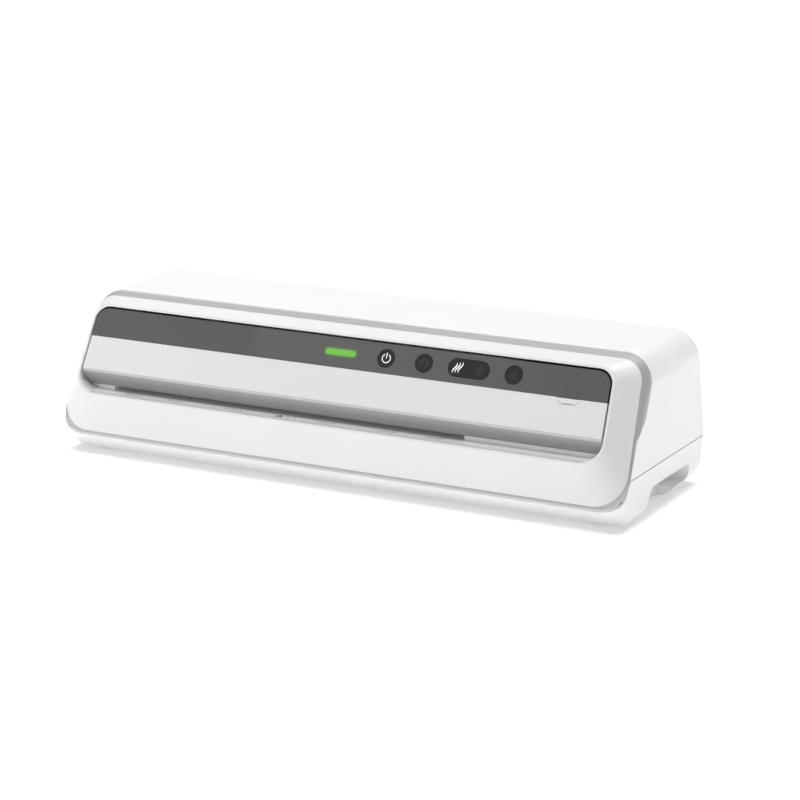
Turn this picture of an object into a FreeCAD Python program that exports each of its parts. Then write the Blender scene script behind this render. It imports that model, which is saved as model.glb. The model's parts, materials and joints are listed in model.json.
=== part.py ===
"""Desktop pouch laminator for A3 pouches, modelled as an assembly in millimetres.

+X is to the right of a person feeding a pouch, +Y goes to the back, +Z is up.
The origin is on the surface the machine stands on, under the middle of its outer box.
The front is a frame that leans back. Its opening holds a control strip above an entry panel,
whose lower lip runs back to the pouch slot. Two roller pairs, a gear train and a gear motor
sit between steel side plates on the base tray.
"""
import FreeCAD
import Part
import math
import os

V = FreeCAD.Vector

# ---------------------------------------------------------------- driving dimensions
HALF_WIDTH = 271.2            # half of the case's width, at the split line
SIDE_DRAFT = 0.04             # how far each side leans in per mm of height above the split
REAR_Y = 91.0                 # rear wall at the split line
REAR_LIP_Y = 92.2             # how far the exit frame and the inlet stand out at the back
COVER_REAR_DRAFT, TRAY_REAR_DRAFT = 0.11, 0.035
TOP_Z = 135.0
BOTTOM_Z = 2.0                # the tray's underside; the rubber feet lift it off the table
SPLIT_Z = 42.5
SPLIT_GAP = 0.25              # half of the visible seam between cover and tray
WALL = 2.5
TOP_CORNER_R = 25.0
BOTTOM_R_FRONT, BOTTOM_R_REAR = 9.0, 21.0  # rounding under the sides, at the two ends of the tray's form
TRAY_FRONT_Y, TRAY_REAR_Y = -95.0, 120.0
COVER_REAR_R, TRAY_REAR_R = 3.0, 5.0
TRAY_CORNER_R = 10.0          # rounding of the tray's two front corners

LEAN = math.radians(27.3)     # how far the front frame leans back
SIN, COS = math.sin(LEAN), math.cos(LEAN)
FACE_Y, FACE_Z = -86.45, 57.7  # the opening's lower edge, the origin of the leaning face frame
FRONT_Y = -87.37              # the frame's foremost line
MIDDLE_Y = (FRONT_Y + REAR_LIP_Y) / 2  # every piece is moved back by this, onto the origin

OPENING = {"bottom": 0.0, "top": 78.7, "half": 251.3, "taper": 0.0483, "r_low": 18.0, "r_high": 13.5}
FRAME = {"bottom": -30.5, "top": 93.5, "half": 269.5, "taper": 0.0678, "r_low": 27.0, "r_high": 20.0}
FRAME_DEPTH = 20.0            # from the frame's crest back to its outer edge, square to the face
CREST = 1.2                   # flat land round the opening
TRIM_DROP = 7.0               # how far the accent trim runs down behind the frame
TRIM_FLARE = 0.4              # how fast the accent trim widens from the frame back to the shells
LOW_GAP, HIGH_GAP = 3.4, 13.8  # accent trim showing behind the frame, low down and high up
SCURVE_LOW_Z, SCURVE_HIGH_Z = 71.0, 86.0
BAND_TOP_Z, BAND_TOP_Y = 113.0, -16.7  # where the band's rear edge turns up, and where it crosses the top
GRIP_TOP_Z, GRIP_REAR_Y = 25.0, 60.6  # the scooped grip in each side
GRIP_SILL_Y, GRIP_SILL_Z = 34.0, 9.5  # the sill that closes the grip below, towards the back
LIP_Z = 17.1                  # top edge of the tray's front lip
LIP_R = 24.0                  # corner radius of the lip
LIP_CENTRE_X, LIP_CENTRE_Z = HALF_WIDTH + 0.5 - LIP_R, LIP_Z + LIP_R

STRIP_BOTTOM = 51.1           # control strip's lower edge, up the leaning face
PANEL_BOTTOM = 21.5           # entry panel's lower edge, up the leaning face
FASCIA_GAP = 1.8
STRIP_T = 2.4

SLOT_X = (-221.0, 122.5)      # the pouch slot; the drive takes the room on its right
TABLE_Z = FACE_Z
LIP_UNDER_Z = 62.1            # the slot's upper side
SLOT_Y = -71.5                # the lip's lower edge, over the mouth of the slot
RISER_Y = -68.4               # front of the risers that close the slot's two ends
TABLE_BACK_Y = -57.5          # where the table ends and the lower guide goes on
LIP_EDGE = 2.6                # upright edge of the lip, below the face
PATH_Z = 60.0                 # the plane in which a pouch travels

KEY_V = 64.3                  # height of the keys up the leaning face
ROUND_KEYS = {"power": 43.4, "reverse": 78.9, "release": 161.3}
KEY_R = 7.9
MODE_KEY_X, MODE_KEY_HALF = 120.3, 18.8
KEY_CLEAR = 0.3
LIGHT_HALF, LIGHT_R = 15.5, 2.4

TAB_TOP_X, TAB_LOW_X = (202.6, 223.4), (206.6, 219.6)
TAB_DROP = 5.4

ROLLER_R = 14.0
NIP_GAP = 0.4
LOWER_AXIS_Z = PATH_Z - ROLLER_R - NIP_GAP / 2
UPPER_AXIS_Z = PATH_Z + ROLLER_R + NIP_GAP / 2
FRONT_AXIS_Y, REAR_AXIS_Y = -16.0, 40.0
SLEEVE_X = (-226.0, 128.0)
CORE_R, JOURNAL_R = 6.0, 4.0
RUNNING = 0.05                # radial clearance of a shaft in its bush

PLATE_T = 1.6
LEFT_PLATE_X, RIGHT_PLATE_X = -235.6, 137.0
BLOCK_HALF, BLOCK_BOTTOM, BLOCK_TOP = 9.0, 64.8, 84.0
BEAM_Z = 96.0
SLIDE_GAP = 0.35              # between a bearing block and the plate it slides in

GEAR_X, GEAR_W = 142.0, 8.0
DRIVE_X, DRIVE_W = 151.0, 6.0
ROLLER_TEETH, SMALL_TEETH, LARGE_TEETH, PINION_TEETH = 20, 14, 36, 12
MODULE = (UPPER_AXIS_Z - LOWER_AXIS_Z) / ROLLER_TEETH
PRESSURE = math.radians(20.0)
BACKLASH = 0.12

INLET_X, INLET_Z = 231.0, 24.0
FOOT_X, FOOT_FRONT_Y, FOOT_REAR_Y, FOOT_R = 238.0, -50.0, 66.0, 9.0

parts = {}


# ---------------------------------------------------------------- helpers
def on_face(x, v, n=0.0):
    """A point in the leaning face frame: v up the slope, n out of the face."""
    return V(x, FACE_Y + v * SIN - n * COS, FACE_Z + v * COS + n * SIN)


def face_y(z, back=0.0):
    """Y of the leaning face plane at height z, moved straight back."""
    return FACE_Y + math.tan(LEAN) * (z - FACE_Z) + back


def frame_back_y(z, back=0.0):
    """Y of the plane that the frame's outer edge lies in."""
    return face_y(z, FRAME_DEPTH / COS + back)


def side_x(z):
    return HALF_WIDTH - SIDE_DRAFT * max(0.0, z - SPLIT_Z)


def rear_y(z):
    draft = COVER_REAR_DRAFT if z > SPLIT_Z else TRAY_REAR_DRAFT
    return REAR_Y - draft * abs(z - SPLIT_Z)


def rounded_wire(corners, place):
    """A closed wire through corners (a, b, radius), each rounded by a tangent arc."""
    spans = []
    for i, (a, b, radius) in enumerate(corners):
        here = V(a, b, 0)
        back = (V(*corners[i - 1][:2], 0) - here).normalize()
        ahead = (V(*corners[(i + 1) % len(corners)][:2], 0) - here).normalize()
        half = back.getAngle(ahead) / 2
        reach = radius / math.tan(half)
        middle = here + (back + ahead).normalize() * (radius / math.sin(half) - radius) if radius else here
        spans.append((here + back * reach, middle, here + ahead * reach, radius))
    edges = []
    for i, (first, middle, last, radius) in enumerate(spans):
        p, m, q = (place(w.x, w.y) for w in (first, middle, last))
        if radius:
            edges.append(Part.Arc(p, m, q).toShape())
        following = spans[(i + 1) % len(spans)][0]
        edges.append(Part.LineSegment(q, place(following.x, following.y)).toShape())
    return Part.Wire(edges)


def prism(corners, place, direction):
    return Part.Face(rounded_wire(corners, place)).extrude(direction)


def prism_x(corners, x0, x1):
    """Extrudes an outline drawn in Y and Z along X."""
    return prism(corners, lambda y, z: V(x0, y, z), V(x1 - x0, 0, 0))


def prism_y(corners, y0, y1):
    """Extrudes an outline drawn in X and Z along Y."""
    return prism(corners, lambda x, z: V(x, y0, z), V(0, y1 - y0, 0))


def prism_n(corners, n0, n1):
    """Extrudes an outline drawn on the leaning face square to it."""
    return prism(corners, lambda x, v: on_face(x, v, n0), (on_face(0, 0, n1) - on_face(0, 0, n0)))


def box(x0, x1, y0, y1, z0, z1):
    return Part.makeBox(x1 - x0, y1 - y0, z1 - z0, V(x0, y0, z0))


def rod(radius, x0, x1, y, z):
    return Part.makeCylinder(radius, x1 - x0, V(x0, y, z), V(1, 0, 0))


def post(radius, x, y, z0, z1):
    return Part.makeCylinder(radius, z1 - z0, V(x, y, z0), V(0, 0, 1))


def face_rod(radius, x, v, n0, n1):
    return Part.makeCylinder(radius, n1 - n0, on_face(x, v, n0), V(0, -COS, SIN))


def stadium(half, radius, v):
    """Corners of a long rounded slot of that half length, on the leaning face."""
    return [(-half, v - radius, radius * 0.999), (half, v - radius, radius * 0.999),
            (half, v + radius, radius * 0.999), (-half, v + radius, radius * 0.999)]


def shifted(corners, x):
    return [(a + x, b, r) for a, b, r in corners]


def outline(shape, inset=0.0, drop=0.0):
    """The rounded trapezium of the opening or the frame, drawn in by inset."""
    low, high = shape["bottom"] + inset - drop, shape["top"] - inset
    half_low = shape["half"] - shape["taper"] * low - inset
    half_high = shape["half"] - shape["taper"] * high - inset
    r_low, r_high = max(1.0, shape["r_low"] - inset + drop / 2), max(1.0, shape["r_high"] - inset)
    return [(-half_low, low, r_low), (half_low, low, r_low),
            (half_high, high, r_high), (-half_high, high, r_high)]


def leaning_prism_y(corners, n, y0, y1):
    """Moves an outline drawn in a plane parallel to the face from y0 to y1 straight along Y."""
    return prism(corners, lambda x, v: on_face(x, v, n) + V(0, y0, 0), V(0, y1 - y0, 0))


def loft(low, high):
    return Part.makeLoft([low, high], True, True)


def fuse(*shapes):
    return shapes[0].multiFuse(list(shapes[1:])).removeSplitter() if len(shapes) > 1 else shapes[0]


def rounded(shape, radius, chosen):
    """Fillets the edges for which chosen(edge) is true."""
    return shape.makeFillet(radius, [e for e in shape.Edges if chosen(e)])


def group(shapes):
    return Part.makeCompound(shapes)


# ---------------------------------------------------------------- case shells
def front_profile(back=0.0, top=145.0):
    """Corners, from low to high, of the shells' front edge seen from the side."""
    return [(frame_back_y(-10.0, LOW_GAP + back), -10.0, 0.0),
            (frame_back_y(SCURVE_LOW_Z, LOW_GAP + back), SCURVE_LOW_Z, 14.0),
            (frame_back_y(SCURVE_HIGH_Z, HIGH_GAP + back), SCURVE_HIGH_Z, 14.0),
            (frame_back_y(BAND_TOP_Z, HIGH_GAP + back), BAND_TOP_Z, 22.0),
            (BAND_TOP_Y + back, TOP_Z, 0.0), (BAND_TOP_Y + back, top, 0.0)]


def behind_front(back=0.0):
    """All the space behind the shells' front edge."""
    far = 200.0
    return prism_x(front_profile(back) + [(far, 145.0, 0.0), (far, -10.0, 0.0)], -300, 300)


def cover_block(inset, floor_z):
    """The cover's outer form from floor_z up, drawn in by inset."""
    top = TOP_Z - inset
    side_low, side_high = side_x(floor_z) - inset, side_x(top) - inset
    radius = TOP_CORNER_R - inset
    block = prism_y([(-side_low, floor_z, 0), (side_low, floor_z, 0), (side_high, top, radius),
                     (-side_high, top, radius)], -95, 120)
    return block.cut(behind_rear(inset))


def behind_rear(inset):
    """All the space behind the cover's rear wall, drawn in by inset."""
    high = 300.0
    return prism_x([(REAR_Y - inset, SPLIT_Z, 0), (REAR_Y - inset, -50, 0), (high, -50, 0), (high, high, 0),
                    (rear_y(high) - inset, high, 0)], -300, 300)


def on_cover_rear(edge):
    ends = [v.Point for v in edge.Vertexes]
    return all(abs(p.y - rear_y(p.z)) < 0.01 for p in ends) and max(p.z for p in ends) > SPLIT_Z + 2


def make_top_cover():
    floor_z = SPLIT_Z + SPLIT_GAP
    outer = rounded(cover_block(0, floor_z), COVER_REAR_R, on_cover_rear)
    outer = outer.common(behind_front())
    shell = outer.cut(cover_block(WALL, SPLIT_Z))
    exit_hole = box(SLOT_X[0] - 6, SLOT_X[1] + 6, 70, 95, PATH_Z - 9, PATH_Z + 9)
    vents = [box(x, x + 3.2, 70, 95, 88, 112) for x in range(-212, 116, 8)]
    return shell.cut(group([exit_hole] + vents))


def lip_cone(shrink):
    """The space inside the tray's flared front, whose lip edge lies on the frame's gap line."""
    lip_y = frame_back_y(LIP_Z, LOW_GAP)
    sections = []
    for ahead in (-12.0, 190.0):
        r = LIP_CENTRE_Z - LIP_Z + ahead - shrink
        low, side = LIP_CENTRE_Z - r, LIP_CENTRE_X + r
        sections.append(rounded_wire([(-side, low, r), (side, low, r), (side, 260, 0), (-side, 260, 0)],
                                     lambda x, z, y=lip_y + ahead: V(x, y, z)))
    return loft(*sections)


def tray_block(inset):
    """The tray's outer form drawn in by inset, carried straight up past the split line."""
    low, high = BOTTOM_Z + inset, 70.0
    foot, side = HALF_WIDTH - 2.5 - inset, HALF_WIDTH - inset
    block = prism_y([(-foot, low, 0), (foot, low, 0), (side, SPLIT_Z, 0), (side, high, 0),
                     (-side, high, 0), (-side, SPLIT_Z, 0)], TRAY_FRONT_Y, TRAY_REAR_Y)
    under_sides = [e for e in block.Edges if e.BoundBox.YLength > 100 and e.BoundBox.ZMax < low + 0.01]
    block = block.makeFillet(BOTTOM_R_FRONT - inset, BOTTOM_R_REAR - inset, under_sides)
    rear = prism_x([(-120, low, 0), (rear_y(BOTTOM_Z) - inset, low, 0), (REAR_Y - inset, SPLIT_Z, 0),
                    (REAR_Y - inset, high, 0), (-120, high, 0)], -300, 300)
    return block.common(rear).common(lip_cone(inset * math.sqrt(2)))


def on_tray_corner(edge):
    """True for the two edges where the flared front meets the tray's sides."""
    bounds = edge.BoundBox
    outermost = max(abs(bounds.XMin), abs(bounds.XMax))
    return outermost > HALF_WIDTH - 3 and bounds.YMax < -40 and bounds.ZLength > 10


def grip_pocket(grow, x0, x1):
    """The scoop under each side that a hand lifts the machine by."""
    corners = [(-37 - grow, -6, 0), (-30.5 - grow, 6, 10), (-21 - grow, GRIP_TOP_Z + grow, 8),
               (GRIP_REAR_Y + grow, GRIP_TOP_Z + grow, 7.4 + grow),
               (GRIP_REAR_Y + grow, GRIP_SILL_Z - grow, 5.0 + grow),
               (GRIP_SILL_Y + grow, GRIP_SILL_Z - grow, 2.0), (GRIP_SILL_Y - 8 + grow, -6, 0)]
    return prism_x(corners, x0, x1)


def on_tray_rear(edge):
    """True for the edges round the foot of the tray's rear wall."""
    ends = [v.Point for v in edge.Vertexes]
    return all(abs(p.y - rear_y(p.z)) < 0.01 for p in ends) and min(p.z for p in ends) < SPLIT_Z - 5


def make_base_tray():
    outer = rounded(tray_block(0), TRAY_CORNER_R, on_tray_corner)
    outer = outer.common(box(-300, 300, -120, 120, 0, SPLIT_Z - SPLIT_GAP))
    outer = rounded(outer, TRAY_REAR_R, on_tray_rear).common(behind_front())
    tray = outer.cut(tray_block(WALL))
    root = tray_block(WALL - 0.1).cut(tray_block(WALL + 1.9))
    root = root.common(box(-300, 300, -40, 95, SPLIT_Z - 5, SPLIT_Z - 1))
    tongue = tray_block(WALL + 0.5).cut(tray_block(WALL + 1.9))
    tongue = tongue.common(box(-300, 300, -40, 95, SPLIT_Z - 2, SPLIT_Z + 3))
    tray = fuse(tray, root, tongue)
    for x0, x1, inner in ((252.5, 300, 250.3), (-300, -252.5, -280)):
        liner = grip_pocket(2.2, inner if x0 > 0 else -280, 280 if x0 > 0 else -250.3).common(outer)
        tray = fuse(tray, liner).cut(grip_pocket(0, x0, x1))
    floor = BOTTOM_Z + WALL - 0.01
    bosses = [post(3.4, x, y, floor, 12.0) for x, y in screw_places()]
    tray = fuse(tray, *bosses)
    holes = [post(1.3, x, y, 0, 12.5) for x, y in screw_places()]
    heads = [post(3.2, x, y, 0, BOTTOM_Z + 1.4) for x, y in screw_places()]
    seats = [post(FOOT_R + 0.2, x, y, 0, 3.0) for x, y in foot_places()]
    vents = [box(-180 + 12 * i, -176.5 + 12 * i, -20, 30, 0, 6) for i in range(25)]
    inlet = box(INLET_X - 14, INLET_X + 14, 75, 95, INLET_Z - 10.5, INLET_Z + 10.5)
    return tray.cut(group(holes + heads + seats + vents + [inlet]))


def screw_places():
    return [(x, y) for x in (-190.0, -36.0, 190.0) for y in (-40.0, 74.0)]


def foot_places():
    return [(x, y) for x in (-FOOT_X, FOOT_X) for y in (FOOT_FRONT_Y, FOOT_REAR_Y + 6)]


def make_feet():
    feet = []
    for x, y in foot_places():
        pad = post(FOOT_R, x, y, 0, 3.0)
        feet.append(rounded(pad, 0.8, lambda e: e.BoundBox.ZMax < 0.1))
    return group(feet)


def make_case_screws():
    """Pan-head screws driven up from below through the tray's bosses."""
    return group([fuse(post(3.0, x, y, BOTTOM_Z, BOTTOM_Z + 1.4), post(1.25, x, y, BOTTOM_Z + 1.3, 12.0))
                  for x, y in screw_places()])


# ---------------------------------------------------------------- front frame and trim
def make_front_bezel():
    crest = outline(OPENING, -CREST)
    outer = loft(rounded_wire(outline(FRAME), lambda x, v: on_face(x, v, -FRAME_DEPTH)),
                 rounded_wire(crest, lambda x, v: on_face(x, v, 0)))
    inner = loft(rounded_wire(outline(FRAME, WALL), lambda x, v: on_face(x, v, -FRAME_DEPTH - 1.0)),
                 rounded_wire(outline(OPENING, 0.8), lambda x, v: on_face(x, v, -WALL)))
    reach = prism_x([(-120, 30, 0), (TABLE_BACK_Y, 30, 0), (TABLE_BACK_Y, 97.0, 0),
                     (face_y(140, 9), 140, 0), (-120, 140, 0)], -300, 300)
    tube = leaning_prism_y(outline(OPENING, -2.0), 0, 0, 60).common(reach)
    return fuse(outer.cut(inner), tube).cut(leaning_prism_y(outline(OPENING), 0, -20, 100))


def make_accent_trim():
    """The grey band behind the frame, with a tongue that tucks inside the shells."""
    plane = -FRAME_DEPTH
    ahead = prism_x([(-140, -10, 0)] + front_profile(-0.15) + [(-140, 145, 0)], -300, 300)
    tucked = prism_x([(-140, -10, 0)] + front_profile(5.0) + [(-140, 145, 0)], -300, 300)
    depth = 30.0
    flare = loft(*(rounded_wire(outline(dict(FRAME, r_low=23.5), 0.6 - TRIM_FLARE * y, TRIM_DROP),
                                lambda x, v, y=y: on_face(x, v, plane) + V(0, y, 0)) for y in (0.0, depth)))
    shells = fuse(cover_block(0.3, SPLIT_Z), tray_block(0.3).common(box(-300, 300, -120, 120, 0, SPLIT_Z)))
    shown = flare.common(shells).common(ahead).common(lip_cone(0.7))
    inner = dict(FRAME, half=FRAME["half"] - 3.0, r_low=20.0, r_high=30.0)
    tongue = leaning_prism_y(outline(inner, 0.9, TRIM_DROP - 3.0), plane, 0, 60).common(tucked)
    tongue = tongue.common(lip_cone(WALL * math.sqrt(2) + 0.4))
    return fuse(shown, tongue).cut(leaning_prism_y(outline(FRAME, 6.0), plane, -20, 120))


# ---------------------------------------------------------------- control strip, keys, entry panel
def fascia_outline(low, high, gap, radius):
    return [(-(OPENING["half"] - OPENING["taper"] * low - gap), low, 0),
            (OPENING["half"] - OPENING["taper"] * low - gap, low, 0),
            (OPENING["half"] - OPENING["taper"] * high - gap, high, radius),
            (-(OPENING["half"] - OPENING["taper"] * high - gap), high, radius)]


def key_holes(clear, n0, n1):
    holes = [face_rod(KEY_R + clear, x, KEY_V, n0, n1) for x in ROUND_KEYS.values()]
    mode = stadium(MODE_KEY_HALF + clear, KEY_R - 0.2 + clear, KEY_V)
    holes.append(prism_n(shifted(mode, MODE_KEY_X), n0, n1))
    return holes


def make_control_strip():
    top, radius = OPENING["top"] - FASCIA_GAP, OPENING["r_high"] - FASCIA_GAP
    plate = prism_n(fascia_outline(STRIP_BOTTOM, top, FASCIA_GAP, radius), -STRIP_T, 0)
    light = prism_n(stadium(LIGHT_HALF + 0.05, LIGHT_R + 0.05, KEY_V), -9, 3)
    return plate.cut(group(key_holes(KEY_CLEAR, -9, 3) + [light]))


def make_light_bar():
    return prism_n(stadium(LIGHT_HALF, LIGHT_R, KEY_V), -9.4, 0.0)


def make_round_key(x):
    cap = rounded(face_rod(KEY_R, x, KEY_V, -3.6, -0.15), 0.4, lambda e: e.CenterOfMass.z > face_level(-0.3))
    return fuse(cap, face_rod(KEY_R + 1.2, x, KEY_V, -4.2, -2.9), face_rod(2.0, x, KEY_V, -7.7, -4.0))


def face_level(n):
    """Height of a point on the keys' line, n out of the face."""
    return on_face(0, KEY_V, n).z


def make_mode_key():
    cap = prism_n(shifted(stadium(MODE_KEY_HALF, KEY_R - 0.2, KEY_V), MODE_KEY_X), -3.6, -0.15)
    flange = prism_n(shifted(stadium(MODE_KEY_HALF + 1.2, KEY_R + 1.0, KEY_V), MODE_KEY_X), -4.2, -2.9)
    return fuse(cap, flange, face_rod(2.0, MODE_KEY_X, KEY_V, -7.7, -4.0))


def rectangle(a0, a1, b0, b1):
    """Sharp corners of an upright rectangle."""
    return [(a0, b0, 0), (a1, b0, 0), (a1, b1, 0), (a0, b1, 0)]


def tab_corners(grow):
    low, high = STRIP_BOTTOM - TAB_DROP - grow, STRIP_BOTTOM - 0.2 + grow
    return [(TAB_LOW_X[0] - grow, low, 1.4), (TAB_LOW_X[1] + grow, low, 1.4),
            (TAB_TOP_X[1] + grow, high, 0), (TAB_TOP_X[0] - grow, high, 0)]


def make_latch_tab():
    """A small sprung tab let into the panel's upper edge, with a fingernail slit."""
    plate = prism_n(tab_corners(-0.18), -2.0, -0.05)
    middle = (TAB_LOW_X[0] + TAB_LOW_X[1]) / 2
    slit_v = STRIP_BOTTOM - TAB_DROP + 0.1
    slit = prism_n(rectangle(middle - 4, middle + 4, slit_v, slit_v + 0.9), -1.4, 1)
    hook = prism_n(rectangle(middle - 5, middle + 5, STRIP_BOTTOM - 4, STRIP_BOTTOM - 2), -7.0, -1.9)
    return fuse(plate, hook).cut(slit)


def make_entry_panel():
    """Face panel, lip and upper guide in one moulding, with a carrier behind the control strip."""
    low = on_face(0, PANEL_BOTTOM)
    high = on_face(0, STRIP_BOTTOM - 0.15)
    high_in = on_face(0, STRIP_BOTTOM - 0.15, -2.7)
    low_in = on_face(0, PANEL_BOTTOM + 1.0, -3.2)
    skin = prism_x([(low.y, low.z, 0.5), (low.y + 0.3, low.z - LIP_EDGE, 0.4), (SLOT_Y, LIP_UNDER_Z, 0.3),
                    (SLOT_Y + 2.6, LIP_UNDER_Z, 0), (SLOT_Y + 2.6, LIP_UNDER_Z + 2.0, 0),
                    (low_in.y, low_in.z, 0.6), (high_in.y, high_in.z, 0), (high.y, high.z, 0)], -260, 260)
    sides = leaning_prism_y(outline(OPENING, FASCIA_GAP), 0, -20, 90)
    guide = prism_x([(SLOT_Y + 1.5, LIP_UNDER_Z, 0), (-42, LIP_UNDER_Z, 0), (-28.5, PATH_Z + 1.8, 0),
                     (-28.5, PATH_Z + 3.4, 0), (-42, LIP_UNDER_Z + 1.6, 0),
                     (SLOT_Y + 1.5, LIP_UNDER_Z + 1.6, 0)], SLOT_X[0] - 2, SLOT_X[1] + 2)
    top = OPENING["top"] - FASCIA_GAP - 1.0
    carrier = prism_n(fascia_outline(STRIP_BOTTOM - 3.0, top, FASCIA_GAP + 1, OPENING["r_high"] - FASCIA_GAP),
                      -4.4, -STRIP_T)
    posts = [face_rod(2.2, x, v, -11.4, -4.3) for x in (-24, 22, 180) for v in (54.5, 73.0)]
    holes = key_holes(1.6, -9, 3)
    light = prism_n(stadium(LIGHT_HALF + 0.6, LIGHT_R + 0.6, KEY_V), -9, 3)
    body = fuse(skin.common(sides), guide, carrier, *posts)
    return body.cut(group(holes + [light, prism_n(tab_corners(0.15), -9, 3)]))


def make_pouch_guide_lower():
    """Lower guide from the slot to the first rollers, and the risers that close the slot's two ends."""
    plate = prism_x([(TABLE_BACK_Y + 0.1, TABLE_Z, 0), (-42, TABLE_Z, 0), (-28.5, PATH_Z - 1.8, 0),
                     (-28.5, PATH_Z - 3.4, 0), (-42, TABLE_Z - 2, 0), (TABLE_BACK_Y + 0.1, TABLE_Z - 2, 0)],
                    SLOT_X[0] - 2, SLOT_X[1] + 2)
    ends = []
    for x0, x1 in ((-OPENING["half"] + 1.6, SLOT_X[0]), (SLOT_X[1], OPENING["half"] - 1.6)):
        riser = box(x0, x1, RISER_Y, TABLE_BACK_Y + 4, TABLE_Z + 0.05, LIP_UNDER_Z - 0.1)
        ends.append(riser.common(leaning_prism_y(outline(OPENING, 0.1), 0, -20, 90)))
    links = [box(x, x + 2, TABLE_BACK_Y + 0.2, TABLE_BACK_Y + 4, TABLE_Z - 2, TABLE_Z + 1)
             for x in (SLOT_X[0] - 2, SLOT_X[1])]
    return fuse(plate, *links, *ends)


# ---------------------------------------------------------------- boards and switches
def key_places():
    return sorted(list(ROUND_KEYS.values()) + [MODE_KEY_X])


def make_control_board():
    board = prism_n(rectangle(-30, 190, 52.5, 75.5), -13.0, -11.4)
    lamps = [prism_n(rectangle(x - 1.5, x + 1.5, KEY_V - 1.5, KEY_V + 1.5), -11.4, -9.9)
             for x in (-10, 0, 10)]
    chip = prism_n(rectangle(60, 72, 53.5, 58.0), -14.6, -13.0)
    return fuse(board, chip, *lamps)


def make_tact_switches():
    return group([fuse(prism_n(rectangle(x - 3, x + 3, KEY_V - 3, KEY_V + 3), -11.4, -9.7),
                       face_rod(1.7, x, KEY_V, -9.8, -8.95)) for x in key_places()])


def make_power_board():
    return box(216.5, 247, -26, 58, 12, 13.6)


def make_board_parts():
    transformer = box(219, 239, -20, 4, 13.6, 34)
    capacitors = [post(5.5, 238, y, 13.6, 31) for y in (14, 28)]
    relay = box(219, 229, 12, 32, 13.6, 28)
    fins = [box(218 + 5 * i, 219.2 + 5 * i, 38, 43, 13.6, 38) for i in range(6)]
    sink = fuse(box(218, 246, 36, 38, 13.6, 38), *fins)
    fuse_holder = rod(2.6, 223, 243, 47.0, 16.4)
    return group([transformer, relay, sink, fuse_holder] + capacitors)


def make_board_standoffs():
    return group([post(2.5, x, y, BOTTOM_Z + WALL, 12.0) for x in (220.5, 243.5) for y in (-22, 54)])


def make_power_inlet():
    """Appliance inlet for a three-pin mains connector, snapped into the tray's rear wall."""
    z0, z1 = INLET_Z - 10.2, INLET_Z + 10.2
    body = box(INLET_X - 13.7, INLET_X + 13.7, 63, REAR_Y + 0.2, z0, z1)
    flange = box(INLET_X - 16.5, INLET_X + 16.5, REAR_Y + 0.1, REAR_LIP_Y, INLET_Z - 13, INLET_Z + 13)
    socket = prism_y([(INLET_X - 12, INLET_Z - 8.2, 1), (INLET_X + 12, INLET_Z - 8.2, 1),
                      (INLET_X + 12, INLET_Z + 4, 0.5), (INLET_X + 7.5, INLET_Z + 8.2, 0.5),
                      (INLET_X - 7.5, INLET_Z + 8.2, 0.5), (INLET_X - 12, INLET_Z + 4, 0.5)], 70, 95)
    pin_holes = [box(x - 1.0, x + 1.0, 60, 90, z - 2.0, z + 2.0) for x, z in pin_places()]
    return fuse(body, flange).cut(group([socket] + pin_holes))


def pin_places():
    return [(INLET_X - 7, INLET_Z - 2.0), (INLET_X + 7, INLET_Z - 2.0), (INLET_X, INLET_Z + 2.5)]


def make_inlet_pins():
    return group([box(x - 1.0, x + 1.0, 58, 82, z - 2.0, z + 2.0) for x, z in pin_places()])


# ---------------------------------------------------------------- side plates, bearings, rollers
def roller_axes():
    return {"front_lower": (FRONT_AXIS_Y, LOWER_AXIS_Z), "front_upper": (FRONT_AXIS_Y, UPPER_AXIS_Z),
            "rear_lower": (REAR_AXIS_Y, LOWER_AXIS_Z), "rear_upper": (REAR_AXIS_Y, UPPER_AXIS_Z)}


def make_side_plate(x0, inward):
    sheet = prism_x([(-46, 4.6, 0), (62, 4.6, 0), (62, 98, 6), (-40, 98, 8), (-46, 60, 4)], x0, x0 + PLATE_T)
    flange_x = (x0, x0 + 14) if inward > 0 else (x0 + PLATE_T - 14, x0 + PLATE_T)
    sheet = fuse(sheet, box(*flange_x, -38, 56, 4.6, 6.2))
    cuts = []
    for y in (FRONT_AXIS_Y, REAR_AXIS_Y):
        cuts.append(rod(8.0, x0 - 1, x0 + 3, y, LOWER_AXIS_Z))
        reach = BLOCK_HALF + SLIDE_GAP
        cuts.append(box(x0 - 1, x0 + 3, y - reach, y + reach, BLOCK_BOTTOM - SLIDE_GAP, 99))
    cuts.append(box(x0 - 1, x0 + 3, -50, -27, TABLE_Z - 5, LIP_UNDER_Z + 5))
    cuts.append(rod(9.0, x0 - 1, x0 + 3, 12, 20))
    if inward < 0:
        cuts.append(rod(1.6, x0 - 1, x0 + 3, *compound_place()))
    sheet = sheet.cut(group(cuts))
    return max(sheet.Solids, key=lambda s: s.Volume)


def make_lower_bushes():
    bushes = []
    for y in (FRONT_AXIS_Y, REAR_AXIS_Y):
        for x0, flange_x in ((LEFT_PLATE_X, LEFT_PLATE_X - 1.5), (RIGHT_PLATE_X, RIGHT_PLATE_X - 1.5)):
            barrel = rod(7.98, x0, x0 + PLATE_T + 0.4, y, LOWER_AXIS_Z)
            flange = rod(9.5, flange_x, flange_x + 1.5, y, LOWER_AXIS_Z)
            bore = rod(JOURNAL_R + RUNNING, x0 - 5, x0 + 6, y, LOWER_AXIS_Z)
            bushes.append(fuse(barrel, flange).cut(bore))
    return group(bushes)


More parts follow.
